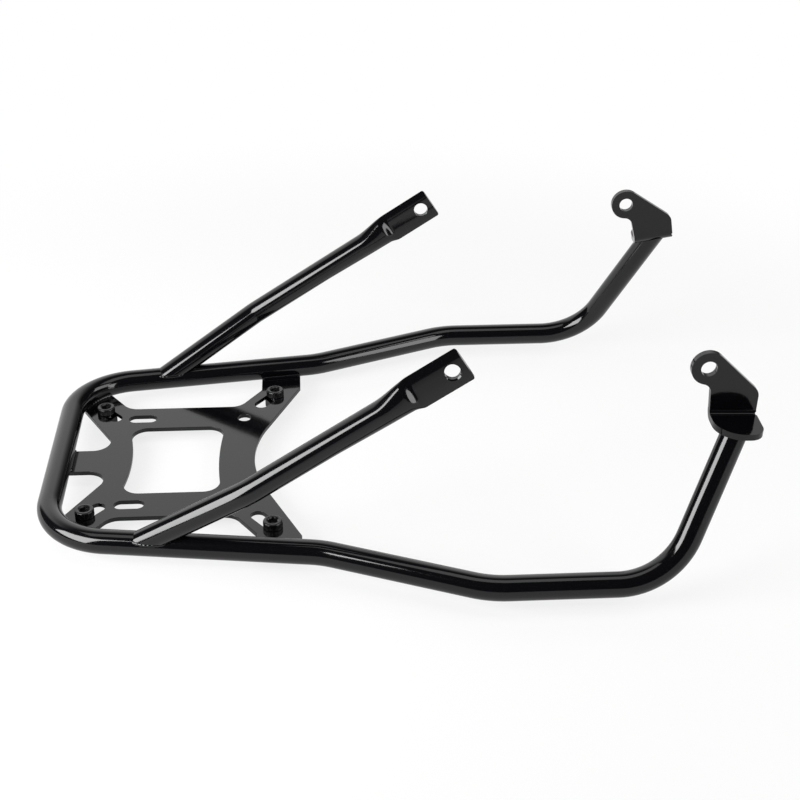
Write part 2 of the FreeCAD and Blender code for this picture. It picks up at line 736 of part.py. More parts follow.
def make_fastener(name, x, y):
    """Screw from above and nut from below."""
    nut_z = plate_bottom - size("nut_height")
    tail_z = nut_z - size("screw_tail")
    dia = size("screw_dia")
    head = cylinder(name + "_head", size("screw_head_dia"), size("screw_head_height"), Vector(x, y, 0))
    shank = cylinder(name + "_shank", dia, -tail_z, Vector(x, y, tail_z.value))
    socket_z = size("screw_head_height") - size("socket_depth")
    socket = hexagon(name + "_socket", size("socket_across"), size("socket_depth"), Vector(x, y, socket_z.value))
    blank = doc.addObject("Part::Fuse", name + "_blank")
    blank.Base = head
    blank.Tool = shank
    screw = cut_object(name + "_screw", blank, socket)
    screw.Label = "slot_screw_" + name
    block = hexagon(name + "_block", size("nut_across"), size("nut_height"), Vector(x, y, nut_z.value))
    tapping = cylinder(name + "_tapping", dia + size("nut_clearance") * 2, size("nut_height"),
                       Vector(x, y, nut_z.value))
    nut = cut_object(name + "_nut", block, tapping)
    nut.Label = "nut_" + name
    return [screw, nut]


for end, along in SLOT_PLACES.items():
    for side, sign in SIDES.items():
        screw_x = along(end + "_slot_out_x").value
        screw_y = number(end + "_slot_out_y") * sign
        parts += make_fastener("%s_%s" % (end, side), screw_x, screw_y)


# Checks, then one file for each piece

doc.recompute()
for obj in doc.Objects:
    if any(flag in obj.State for flag in ("Invalid", "Error")):
        raise RuntimeError("%s: %s" % (obj.Name, obj.State))
    shape = getattr(obj, "Shape", None)
    if shape is not None and obj.TypeId != "Sketcher::SketchObject":
        if shape.isNull() or not shape.isValid():
            raise RuntimeError("%s has no valid shape" % obj.Name)

os.makedirs("parts", exist_ok=True)
for part in parts:
    if len(part.Shape.Solids) != 1:
        raise RuntimeError("%s holds %d solids" % (part.Label, len(part.Shape.Solids)))
    part.Shape.exportStep("parts/%s.step" % part.Label)
    print("%-24s volume %10.1f" % (part.Label, part.Shape.Volume))
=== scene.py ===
"""Motorcycle luggage rack: bent black tubes, a slotted carrier plate, lugs, screws and welds.

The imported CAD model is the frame. Tubes, pressed tube ends, screws, nuts and weld beads are worked out
here as parametric surfaces in the same frame, in metres: +X towards the lugs, +Z up. The plate and the
lugs stay CAD pieces and get rounded cut edges and their finish.
"""

import math

import bmesh
import bpy
import numpy as np
from bpy.props import FloatProperty, FloatVectorProperty, IntProperty, PointerProperty
from mathutils import Matrix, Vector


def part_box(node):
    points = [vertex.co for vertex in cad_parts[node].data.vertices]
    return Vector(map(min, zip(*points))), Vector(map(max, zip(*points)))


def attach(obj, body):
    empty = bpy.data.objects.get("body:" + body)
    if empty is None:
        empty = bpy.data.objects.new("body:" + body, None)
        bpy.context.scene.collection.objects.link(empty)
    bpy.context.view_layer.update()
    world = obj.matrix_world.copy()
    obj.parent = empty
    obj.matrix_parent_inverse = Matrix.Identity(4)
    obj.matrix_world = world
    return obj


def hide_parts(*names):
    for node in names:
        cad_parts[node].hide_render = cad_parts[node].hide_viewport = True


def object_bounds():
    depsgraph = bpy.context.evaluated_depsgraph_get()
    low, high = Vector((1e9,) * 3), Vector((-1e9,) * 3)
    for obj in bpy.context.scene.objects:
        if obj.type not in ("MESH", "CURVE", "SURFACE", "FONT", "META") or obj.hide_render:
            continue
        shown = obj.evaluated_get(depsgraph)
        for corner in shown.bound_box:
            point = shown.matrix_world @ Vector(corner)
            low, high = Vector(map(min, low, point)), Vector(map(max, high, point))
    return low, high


bl_info = {
    "name": "Motorcycle luggage rack",
    "version": (1, 0, 0),
    "blender": (4, 5, 0),
    "location": "3D View > Sidebar > Luggage rack",
    "description": "Builds the tubes, welds, fasteners, finishes and studio of a motorcycle luggage rack",
    "category": "Object",
}

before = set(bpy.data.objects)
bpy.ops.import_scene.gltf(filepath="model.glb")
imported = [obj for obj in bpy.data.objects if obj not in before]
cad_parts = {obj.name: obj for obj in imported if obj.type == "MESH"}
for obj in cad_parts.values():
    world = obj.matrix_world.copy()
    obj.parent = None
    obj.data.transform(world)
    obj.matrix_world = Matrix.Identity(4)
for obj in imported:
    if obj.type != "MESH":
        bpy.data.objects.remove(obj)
CAD_BOX = [list(corner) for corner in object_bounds()]
MM = 0.001
BODY = "root"
SIDES = {"left": 1.0, "right": -1.0}
HOOP_ENDS = {"right": 0, "left": -1}  # rows of the hoop's path at the lugs
CORNERS = ("rear_left", "rear_right", "fore_left", "fore_right")
SHEETS = ("carrier_plate", "left_front_bracket", "right_front_bracket")
UP = np.array((0.0, 0.0, 1.0))
SIDEWAYS = np.array((0.0, 1.0, 0.0))
PLATE_TOP = 0.0

# Fineness of the surfaces: steps along tubes and seams, and points round them
ARC_STEP = math.radians(3)
RUN_STEP = 8 * MM
STAY_STEP = 3 * MM
PRESSED_STEP = 0.5 * MM
SEAM_STEP = 1 * MM
SEAM_POINTS = 145
HALF_SEAM_POINTS = 61
BEAD_COLUMNS = 16
NUT_COLUMNS = 144
KNURL_COLUMNS = 4
THREAD_ROWS = 90
DOUBLES = 1e-7  # points nearer than this are one
CUT_ANGLE = 40.0  # degrees at an edge from which it counts as cut

# Seams
TOUCH = 0.15 * MM  # plate and hoop touch within this
SEAM_GAP = 30 * MM  # seams further apart than this are welded one by one
BLUNT_END = 0.02  # at its ends a bead keeps its radius times the root of this

# Dust on every finish
DUST_COLOUR = (0.35, 0.34, 0.33)
DUST_AMOUNT = 0.01


def length(name, description, millimetres):
    """Length property: shown with the scene's units, default given in millimetres."""
    return FloatProperty(name=name, description=description, default=millimetres * MM, unit="LENGTH",
                         precision=5)


def factor(name, description, default):
    """Share property between 0 and 1."""
    return FloatProperty(name=name, description=description, default=default, min=0.0, max=1.0,
                         subtype="FACTOR")


def angle(name, description, degrees):
    """Angle property, default given in degrees."""
    return FloatProperty(name=name, description=description, default=math.radians(degrees),
                         subtype="ANGLE")


def colour(name, description, default):
    """Colour property of red, green and blue."""
    return FloatVectorProperty(name=name, description=description, default=default, subtype="COLOR",
                               size=3)


class RackTubes(bpy.types.PropertyGroup):
    """Sizes of the bent hoop and of the two stays."""

    diameter: length("Tube diameter", "Outside diameter of hoop and stays", 16)
    axis_height: length("Hoop height", "Height of the flat part's axis over the plate's top", 5)
    rear_reach: length("Rear reach", "Rear bar's axis behind the round holes", 123.7)
    rear_half: length("Rear half width", "Half width where the side runs meet the rear bar", 98.5)
    rear_bend: length("Rear bend", "Bend radius of the two rear corners", 46)
    flare_start: length("Flare start", "Where the side runs turn outwards", 53.3)
    flare_start_half: length("Flare start half width", "Half width where the side runs turn out", 123.4)
    flare_end: length("Flare end", "Where the flared runs turn straight", 153.8)
    flare_end_half: length("Flare end half width", "Half width of the straight front runs", 166)
    flare_bend: length("Flare bend", "Bend radius at both ends of the flare", 55)
    rise_start: length("Rise start", "Where the tubes turn up to the lugs", 263.3)
    rise_bend: length("Rise bend", "Bend radius of the risers", 47)
    stay_root: length("Stay root", "Where a stay's axis meets the hoop's axis", -61.7)
    stay_seat: length("Stay seat", "Height of the stay's cut end over the hoop's axis", 5)
    stay_half: length("Stay half distance", "Half distance between the stays past their bends", 122.6)
    stay_bend_x: length("Stay bend X", "Place of the stay's shallow bend", 8.3)
    stay_bend_z: length("Stay bend Z", "Height of the stay's shallow bend", 50.6)
    left_bend: length("Left stay bend", "Bend radius of the left stay", 18)
    right_bend: length("Right stay bend", "Bend radius of the right stay", 60)
    stay_hole_x: length("Stay hole X", "Place of the hole in the pressed end", 131.7)
    stay_hole_z: length("Stay hole Z", "Height of the hole in the pressed end", 132)
    hole_diameter: length("Hole diameter", "Bolt holes of the stays", 9.8)
    hole_chamfer: length("Hole chamfer", "Broken edge of the bolt holes", 0.3)
    hole_edge: length("Hole to tip", "Hole centre to the stay's tip", 9)
    flat_width: length("Flat width", "Width of the pressed end", 22.6)
    flat_thick: length("Flat thickness", "Two tube walls pressed together", 4)
    flat_length: length("Flat length", "Length of the pressed end", 34)
    press_long: length("Long press", "Length over which the tube narrows towards the flat", 26)
    press_short: length("Short press", "Length of the steep step at the edge of the die", 7)
    press_step: factor("Press step", "Share of the pressing done by the steep step", 0.5)
    flat_middle: length("Level middle", "Width of the pressed end's level middle", 5)
    flat_fall: factor("Edge fall", "Share of the thickness lost at the flat's edges", 0.85)
    edge_power: factor("Edge power", "Power that closes the flat's edges: 0 square, 1 round", 0.22)
    left_twist: angle("Left twist", "Lean of the left flat's upper edge to the left", 1)
    right_twist: angle("Right twist", "Lean of the right flat's upper edge to the left", 8)
    lower_ease: length("Lower ease", "Length over which the lower edge widens", 60)
    tip_corner: length("Tip corner", "Rounding of the tip's two corners", 1.6)
    around: IntProperty(name="Faces around", description="Faces round a tube", default=72, min=12)


class RackLugs(bpy.types.PropertyGroup):
    """Where the lugs stand, which is where the hoop's risers end, and their edges."""

    eye_x: length("Eye X", "Place of the lug's eye", 283.3)
    eye_half: length("Eye half distance", "Half distance between the eyes", 125.6)
    eye_z: length("Eye Z", "Height of the eyes", 131.6)
    thickness: length("Thickness", "Sheet of the lugs", 4)
    fold_radius: length("Fold radius", "Outer radius of the fold between upright and foot", 6.5)
    foot_drop: length("Foot drop", "Eye's axis to the foot's underside", 34)
    seat_out: length("Seat outwards", "Tube's end from the eye's plane", 7.9)
    left_seat: length("Left seat", "Tube's end in front of the left eye", 17.2)
    right_seat: length("Right seat", "Tube's end in front of the right eye", 20.7)
    left_turn: angle("Left turn", "Left lug's nose-up turn", 9.5)
    right_turn: angle("Right turn", "Right lug's nose-up turn", -1.5)
    edge_round: length("Edge round", "Rounding of cut sheet edges under the coat", 0.3)


class RackFasteners(bpy.types.PropertyGroup):
    """Socket screws in the plate's corner slots and their nuts."""

    head_share: factor("Head share", "Head's width as a share of the packed screw's", 0.965)
    rim: length("Rim", "Rounding of the head's edges", 0.5)
    lead_in: factor("Lead-in", "Width of the socket's lead-in as a share of the head's", 0.62)
    socket_width: length("Socket width", "Across the flats of the hexagon socket", 6)
    socket_depth: length("Socket depth", "Depth of the socket", 2.6)
    knurls: IntProperty(name="Knurls", description="Grip grooves round the head", default=36, min=6)
    knurl_depth: length("Knurl depth", "Half depth of the grip grooves", 0.12)
    knurl_inset: length("Knurl inset", "Middle of the grip grooves inside the head's edge", 0.1)
    thread_diameter: length("Thread diameter", "Outside diameter of the thread", 8)
    thread_pitch: length("Thread pitch", "Rise of one turn", 1.25)
    thread_depth: length("Thread depth", "Depth of the thread's groove", 0.6)
    tip_length: length("Tip length", "Bevel of the screw's tip, along the screw", 0.8)
    tip_inset: length("Tip inset", "Bevel of the screw's tip, across the screw", 1.2)
    nut_face: factor("Nut face", "Nut's round faces as a share of its width across flats", 0.97)
    nut_slope: angle("Nut slope", "Slope of the cones that cut the nut's corners back", 30)
    nut_thread: length("Nut thread", "Nut's bore inside the thread's outside", 0.5)
    nut_lead_width: length("Nut lead-in width", "Bevel of the nut's bore, across", 0.9)
    nut_lead_depth: length("Nut lead-in depth", "Bevel of the nut's bore, along", 0.6)


class RackWelds(bpy.types.PropertyGroup):
    """Weld beads under the coat."""

    stay_bead: length("Stay bead", "Half width of the beads at the stays' roots", 1.1)
    lug_bead: length("Lug bead", "Half width of the beads under the lugs", 1.0)
    plate_bead: length("Plate bead", "Half width of the beads along the plate's arms", 1.5)
    plate_inset: factor("Plate bead inset", "Bead's middle off the tube as a share of its half width", 0.4)
    plate_lift: factor("Plate bead lift", "Bead's middle over the plate as a share of its half width", 0.3)
    ripple_pitch: length("Ripple pitch", "Distance between the ripples of a bead", 2.6)
    ripple: factor("Ripple", "Height of a ripple as a share of the bead", 0.1)


class RackFinish(bpy.types.PropertyGroup):
    """Colours and gloss of the finishes."""

    coat_colour: colour("Coat colour", "Gloss black powder coat", (0.0019, 0.0018, 0.0025))
    coat_roughness: factor("Coat roughness", "Roughness of the coat", 0.09)
    screw_colour: colour("Screw colour", "Black oxide of the screws", (0.004, 0.004, 0.0045))
    screw_roughness: factor("Screw roughness", "Roughness of the screws", 0.16)
    zinc_colour: colour("Zinc colour", "Black zinc plating of the nuts", (0.03, 0.03, 0.033))
    zinc_roughness: factor("Zinc roughness", "Roughness of the nuts", 0.3)


class RackStage(bpy.types.PropertyGroup):
    """Camera, floor and studio light."""

    lens: FloatProperty(name="Lens", description="Focal length in millimetres on a 36 mm sensor",
                        default=67.05, unit="CAMERA")
    floor_colour: colour("Floor colour", "Pale studio floor", (0.9, 0.9, 0.9))
    shadow: factor("Shadow", "Share of the floor's shading that the camera sees", 0.22)
    shadow_reach: length("Shadow reach", "Distance from the rack at which its shadow has faded out", 700)
    floor_mirror: FloatProperty(name="Floor in mirrors", description="Near floor's brightness in reflections",
                                default=0.56)
    mirror_share: factor("Mirror share", "Share of the sweep in the floor's reflection", 0.6)
    back_light: FloatProperty(name="Back light", description="Brightness of the white backdrop",
                              default=1.2)
    front_light: FloatProperty(name="Front light", description="Brightness of the room behind the camera",
                               default=0.04)


# Arrays and meshes

def unit(vectors):
    """Vectors scaled to length 1."""
    return vectors / np.linalg.norm(vectors, axis=-1, keepdims=True)


def smooth(share):
    """Smooth step: 3 s^2 - 2 s^3 with s held between 0 and 1."""
    share = np.clip(share, 0.0, 1.0)
    return share * share * (3.0 - 2.0 * share)


def grid_faces(rows, columns, closed_rows=False):
    """Quads of a grid whose columns run round and close; its rows close too if asked."""
    first = np.arange(rows if closed_rows else rows - 1)[:, None]
    after = (first + 1) % rows
    here = np.arange(columns)[None, :]
    beside = (here + 1) % columns
    quads = np.stack([first * columns + here, first * columns + beside,
                      after * columns + beside, after * columns + here], axis=-1)
    return quads.reshape(-1, 4)


def outward(points, quads):
    """Quads turned round if the volume that they enclose comes out negative."""
    a, b, c, d = (points[quads[:, i]] for i in range(4))
    volume = np.sum(a * np.cross(b, c)) + np.sum(a * np.cross(c, d))
    return quads if volume > 0 else quads[:, ::-1]


def closed_tube(rings):
    """Closed surface through rings of points, each end drawn together to its middle."""
    first = np.broadcast_to(rings[0].mean(axis=0), rings[0].shape)
    last = np.broadcast_to(rings[-1].mean(axis=0), rings[-1].shape)
    rings = np.concatenate([first[None], rings, last[None]])
    points = rings.reshape(-1, 3)
    return points, outward(points, grid_faces(*rings.shape[:2]))


def closed_ring(rings):
    """Closed surface whose rows also close, as round a hole."""
    points = rings.reshape(-1, 3)
    return points, outward(points, grid_faces(*rings.shape[:2], closed_rows=True))


def merge_doubles(mesh):
    """Doubled points at poles and seams made one."""
    merged = bmesh.new()
    merged.from_mesh(mesh)
    bmesh.ops.remove_doubles(merged, verts=merged.verts, dist=DOUBLES)
    merged.to_mesh(mesh)
    merged.free()


def shade(mesh, sharp_degrees):
    """Smooth shading with creases sharper than the given angle kept."""
    mesh.polygons.foreach_set("use_smooth", np.ones(len(mesh.polygons), dtype=bool))
    mesh.set_sharp_from_angle(angle=math.radians(sharp_degrees))


def make_piece(name, surfaces, material, sharp_degrees=35.0):
    """Mesh object from closed surfaces, its doubled points merged and its creases kept sharp."""
    starts = np.cumsum([0] + [len(points) for points, _ in surfaces])
    points = np.concatenate([points for points, _ in surfaces]).astype(np.float32)
    quads = np.concatenate([quads + start for (_, quads), start in zip(surfaces, starts)])
    mesh = bpy.data.meshes.new(name)
    mesh.vertices.add(len(points))
    mesh.vertices.foreach_set("co", points.ravel())
    mesh.loops.add(quads.size)
    mesh.loops.foreach_set("vertex_index", quads.astype(np.int32).ravel())
    mesh.polygons.add(len(quads))
    mesh.polygons.foreach_set("loop_start", np.arange(0, quads.size, 4, dtype=np.int32))
    mesh.update(calc_edges=True)
    merge_doubles(mesh)
    shade(mesh, sharp_degrees)
    mesh.materials.append(material)
    piece = bpy.data.objects.new(name, mesh)
    bpy.context.scene.collection.objects.link(piece)
    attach(piece, BODY)
    return piece


def straight(first, last, step):
    """Points of a straight run, evenly spaced by a step at most."""
    count = max(2, math.ceil(np.linalg.norm(last - first) / step) + 1)
    return first + np.linspace(0, 1, count)[:, None] * (last - first)


def bent_path(points, radii, run_step=RUN_STEP):
    """Corner points joined by straight runs, each corner rounded by an arc tangent to both runs.

    The arc starts r / tan(h) before the corner, h being half the corner's angle, and its points are
    centre + r (cos a, sin a) in the plane of the two runs.
    """
    points = np.asarray(points, dtype=float)
    pieces = []
    start = points[0]
    for before, corner, after, radius in zip(points[:-2], points[1:-1], points[2:], radii):
        back, on = unit(before - corner), unit(after - corner)
        half = math.acos(float(np.clip(back @ on, -1, 1))) / 2
        first, last = corner + back * radius / math.tan(half), corner + on * radius / math.tan(half)
        centre = corner + unit(back + on) * radius / math.sin(half)
        sweep = math.pi - 2 * half
        turn = np.linspace(0, sweep, max(4, math.ceil(sweep / ARC_STEP)))
        arc = centre + np.cos(turn)[:, None] * (first - centre) - radius * np.sin(turn)[:, None] * back
        pieces += [straight(start, first, run_step)[:-1], arc[:-1]]
        start = last
    pieces.append(straight(start, points[-1], run_step))
    return np.concatenate(pieces)


def run_lengths(path):
    """Distance along a path at each of its points."""
    return np.concatenate([[0.0], np.cumsum(np.linalg.norm(np.diff(path, axis=0), axis=1))])


def even_path(path, step):
    """The same path with its points an even step apart."""
    lengths = run_lengths(path)
    even = np.linspace(0, lengths[-1], int(lengths[-1] / step) + 1)
    return np.stack([np.interp(even, lengths, path[:, i]) for i in range(3)], axis=1)


def path_frames(path, reference):
    """Direction of travel at each point, and two directions square to it, the first square to reference."""
    along = unit(np.gradient(path, run_lengths(path), axis=0))
    aside = unit(np.cross(reference, along))
    return along, aside, np.cross(along, aside)


def carried(path, reference, across, upwards):
    """Profile carried along a path: point + across * aside + upwards * the third direction."""
    _, aside, third = path_frames(path, reference)
    return path[:, None] + across[..., None] * aside[:, None] + upwards[..., None] * third[:, None]


def round_angles(count):
    """Even angles round a full turn, whose end is left to its start."""
    return np.linspace(0, 2 * math.pi, count, endpoint=False)


def onto_plane(ring, direction, point, normal):
    """Ring slid along direction until it lies in the plane through point."""
    slide = ((point - ring) @ normal) / (direction @ normal)
    return ring + slide[:, None] * direction


# Rack layout

def sided(point, sign):
    """Point of the left half, mirrored to the right one if sign is negative."""
    return np.array((point[0], sign * point[1], point[2]))


def of_side(settings, side, name):
    """Setting that each side has for itself, such as left_turn."""
    return getattr(settings, side + "_" + name)


def lug_axes(side):
    """Eye's centre and the lug's forward and upward directions."""
    lugs = bpy.context.scene.rack_lugs
    turn = of_side(lugs, side, "turn")
    eye = sided((lugs.eye_x, lugs.eye_half, lugs.eye_z), SIDES[side])
    forward = np.array((math.cos(turn), 0.0, math.sin(turn)))
    upward = np.array((-math.sin(turn), 0.0, math.cos(turn)))
    return eye, forward, upward


def riser_seat(side):
    """Where the riser's axis meets the underside of the lug's foot."""
    lugs = bpy.context.scene.rack_lugs
    eye, forward, upward = lug_axes(side)
    seat = of_side(lugs, side, "seat")
    return eye + forward * seat + SIDEWAYS * SIDES[side] * lugs.seat_out - upward * lugs.foot_drop


def onto_lug(ring, direction, side):
    """Ring slid along direction to the underside of a lug: the foot's flat, and the fold's round beside it.

    At the distance d from the upright's inner face the fold stands R - sqrt(R^2 - (R - d)^2) over the flat.
    """
    lugs = bpy.context.scene.rack_lugs
    eye, _, upward = lug_axes(side)
    flat = onto_plane(ring, direction, riser_seat(side), upward)
    from_face = (flat - eye) @ SIDEWAYS * SIDES[side] + lugs.thickness / 2
    short = np.clip(lugs.fold_radius - from_face, 0, lugs.fold_radius)
    rise = lugs.fold_radius - np.sqrt(lugs.fold_radius ** 2 - short ** 2)
    return flat + (rise / (direction @ upward))[:, None] * direction


def hoop_path():
    """Hoop's axis from the right lug round the rear bar to the left lug."""
    tubes = bpy.context.scene.rack_tubes
    half = [(-tubes.rear_reach, tubes.rear_half, tubes.axis_height),
            (tubes.flare_start, tubes.flare_start_half, tubes.axis_height),
            (tubes.flare_end, tubes.flare_end_half, tubes.axis_height),
            (tubes.rise_start, tubes.flare_end_half, tubes.axis_height)]
    left = [sided(p, 1.0) for p in half] + [riser_seat("left")]
    right = [sided(p, -1.0) for p in half] + [riser_seat("right")]
    radii = [tubes.rise_bend, tubes.flare_bend, tubes.flare_bend, tubes.rear_bend]
    return bent_path(right[::-1] + left, radii + radii[::-1])


def stay_points(side):
    """Root on the hoop's axis, bend, hole and unit direction of the front run."""
    tubes = bpy.context.scene.rack_tubes
    sign = SIDES[side]
    share = (tubes.stay_root + tubes.rear_reach) / (tubes.flare_start + tubes.rear_reach)
    root_half = tubes.rear_half + share * (tubes.flare_start_half - tubes.rear_half)
    root = sided((tubes.stay_root, root_half, tubes.axis_height), sign)
    bend = sided((tubes.stay_bend_x, tubes.stay_half, tubes.stay_bend_z), sign)
    hole = sided((tubes.stay_hole_x, tubes.stay_half, tubes.stay_hole_z), sign)
    return root, bend, hole, unit(hole - bend)


# Finishes

def feed(tree, socket, value):
    """Input linked from another socket, or set to a plain value."""
    if isinstance(value, bpy.types.NodeSocket):
        tree.links.new(value, socket)
    else:
        socket.default_value = value


def node(tree, kind, **values):
    """Shader node with the given inputs; names that aren't inputs are set on the node itself."""
    made = tree.nodes.new(kind)
    for name, value in values.items():
        socket = made.inputs.get(name.replace("_", " "))
        if socket is None:
            setattr(made, name, value)
        else:
            feed(tree, socket, value)
    return made


def combined(tree, operation, first, second):
    """Sum, difference or product of two values."""
    made = node(tree, "ShaderNodeMath", operation=operation)
    feed(tree, made.inputs[0], first)
    feed(tree, made.inputs[1], second)
    return made.outputs["Value"]


def new_group(name, inputs, outputs):
    """Empty shader node group with a vector and float inputs (name: default) and float outputs.

    Returns the group, the sockets that its nodes read and the sockets that they feed.
    """
    group = bpy.data.node_groups.new(name, "ShaderNodeTree")
    group.interface.new_socket("Vector", in_out="INPUT", socket_type="NodeSocketVector")
    for label, value in inputs.items():
        socket = group.interface.new_socket(label, in_out="INPUT", socket_type="NodeSocketFloat")
        socket.default_value = value
    for label in outputs:
        group.interface.new_socket(label, in_out="OUTPUT", socket_type="NodeSocketFloat")
    return group, node(group, "NodeGroupInput").outputs, node(group, "NodeGroupOutput").inputs


def coat_grain_group():
    """Orange peel of a sprayed coat: a fine wave for the height and a broad one for the gloss.

    Height is noise at Peel Scale; Roughness is Gloss plus or minus Spread by noise at Patch Scale.
    """
    if "coat_grain" in bpy.data.node_groups:
        return bpy.data.node_groups["coat_grain"]
    group, given, result = new_group(
        "coat_grain", {"Peel Scale": 500.0, "Patch Scale": 40.0, "Gloss": 0.16, "Spread": 0.05},
        ("Height", "Roughness"))
    peel = node(group, "ShaderNodeTexNoise", Vector=given["Vector"], Scale=given["Peel Scale"],
                Detail=1.5, Roughness=0.45)
    patch = node(group, "ShaderNodeTexNoise", Vector=given["Vector"], Scale=given["Patch Scale"],
                 Detail=3.0, Roughness=0.6)
    spread = node(group, "ShaderNodeMapRange", Value=patch.outputs["Fac"],
                  To_Min=combined(group, "SUBTRACT", given["Gloss"], given["Spread"]),
                  To_Max=combined(group, "ADD", given["Gloss"], given["Spread"]))
    feed(group, result["Height"], peel.outputs["Fac"])
    feed(group, result["Roughness"], spread.outputs["Result"])
    return group


def fine_dust_group():
    """Mask of settled dust: specks of noise above a threshold, only where the surface faces up."""
    if "fine_dust" in bpy.data.node_groups:
        return bpy.data.node_groups["fine_dust"]
    group, given, result = new_group("fine_dust", {"Speck Scale": 900.0, "Amount": 0.3}, ("Mask",))
    specks = node(group, "ShaderNodeTexNoise", Vector=given["Vector"], Scale=given["Speck Scale"],
                  Detail=4.0, Roughness=0.7)
    grains = node(group, "ShaderNodeMapRange", Value=specks.outputs["Fac"], From_Min=0.56, From_Max=0.74)
    facing = node(group, "ShaderNodeNewGeometry").outputs["Normal"]
    upward = node(group, "ShaderNodeSeparateXYZ", Vector=facing).outputs["Z"]
    level = node(group, "ShaderNodeMapRange", Value=upward, From_Min=0.2, From_Max=1.0)
    settled = combined(group, "MULTIPLY", grains.outputs["Result"], level.outputs["Result"])
    feed(group, result["Mask"], combined(group, "MULTIPLY", settled, given["Amount"]))
    return group


def finish_material(name, base_colour, gloss, spread, peel_scale, peel_depth, **surface):
    """Painted or plated finish: base colour under thin dust, grained gloss and a bumped normal."""
    if name in bpy.data.materials:
        return bpy.data.materials[name]
    material = bpy.data.materials.new(name)
    material.use_nodes = True
    tree = material.node_tree
    place = node(tree, "ShaderNodeTexCoord").outputs["Object"]
    grain = node(tree, "ShaderNodeGroup", node_tree=coat_grain_group(), Vector=place,
                 Peel_Scale=peel_scale, Gloss=gloss, Spread=spread)
    specks = node(tree, "ShaderNodeGroup", node_tree=fine_dust_group(), Vector=place, Amount=DUST_AMOUNT)
    tint = node(tree, "ShaderNodeMix", data_type="RGBA", Factor=specks.outputs["Mask"],
                A=(*base_colour, 1), B=(*DUST_COLOUR, 1))
    bump = node(tree, "ShaderNodeBump", Strength=1.0, Distance=peel_depth, Height=grain.outputs["Height"])
    surface.update({"Base Color": tint.outputs["Result"], "Roughness": grain.outputs["Roughness"],
                    "Normal": bump.outputs["Normal"]})
    for label, value in surface.items():
        feed(tree, tree.nodes["Principled BSDF"].inputs[label], value)
    return material


def coat_material():
    """Gloss black powder coat of tubes, plate and lugs."""
    finish = bpy.context.scene.rack_finish
    return finish_material("black_powder_coat", finish.coat_colour, gloss=finish.coat_roughness,
                           spread=0.03, peel_scale=300.0, peel_depth=0.006 * MM, IOR=1.5)


def screw_material():
    """Oiled black oxide of the socket screws."""
    finish = bpy.context.scene.rack_finish
    return finish_material("oiled_black_oxide", finish.screw_colour, gloss=finish.screw_roughness,
                           spread=0.05, peel_scale=1500.0, peel_depth=0.008 * MM, IOR=1.5)


def zinc_material():
    """Black zinc plating of the nuts."""
    finish = bpy.context.scene.rack_finish
    return finish_material("black_zinc", finish.zinc_colour, gloss=finish.zinc_roughness,
                           spread=0.1, peel_scale=1200.0, peel_depth=0.02 * MM, Metallic=1.0)


# Hoop and stays

class RACK_OT_hoop(bpy.types.Operator):
    """Build the bent hoop: a circle carried along the hoop's axis, its ends cut to the lugs' feet"""

    bl_idname = "rack.build_hoop"
    bl_label = "Hoop tube"

    def execute(self, context):
        tubes = context.scene.rack_tubes
        path = hoop_path()
        turn = round_angles(tubes.around)
        radius = tubes.diameter / 2
        rings = carried(path, UP, radius * np.cos(turn)[None], radius * np.sin(turn)[None])
        along, _, _ = path_frames(path, UP)
        for side, row in HOOP_ENDS.items():
            rings[row] = onto_lug(rings[row], along[row], side)
        piece = make_piece("hoop_bar", [closed_tube(rings)], coat_material())
        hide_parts("hoop_tube")
        return {"FINISHED"}


def flat_half_thickness(across, tubes):
    """Half thickness of the pressed end: level in the middle, falling as a parabola towards both edges."""
    middle = tubes.flat_middle / 2
    beyond = np.clip((np.abs(across) - middle) / (tubes.flat_width / 2 - middle), 0, 1)
    return tubes.flat_thick / 2 * (1 - tubes.flat_fall * beyond ** 2)


def stay_seat(side):
    """Level cut at the stay's foot: a point of it, and the direction of the lower run."""
    root, bend, _, _ = stay_points(side)
    return root + UP * bpy.context.scene.rack_tubes.stay_seat, unit(bend - root)


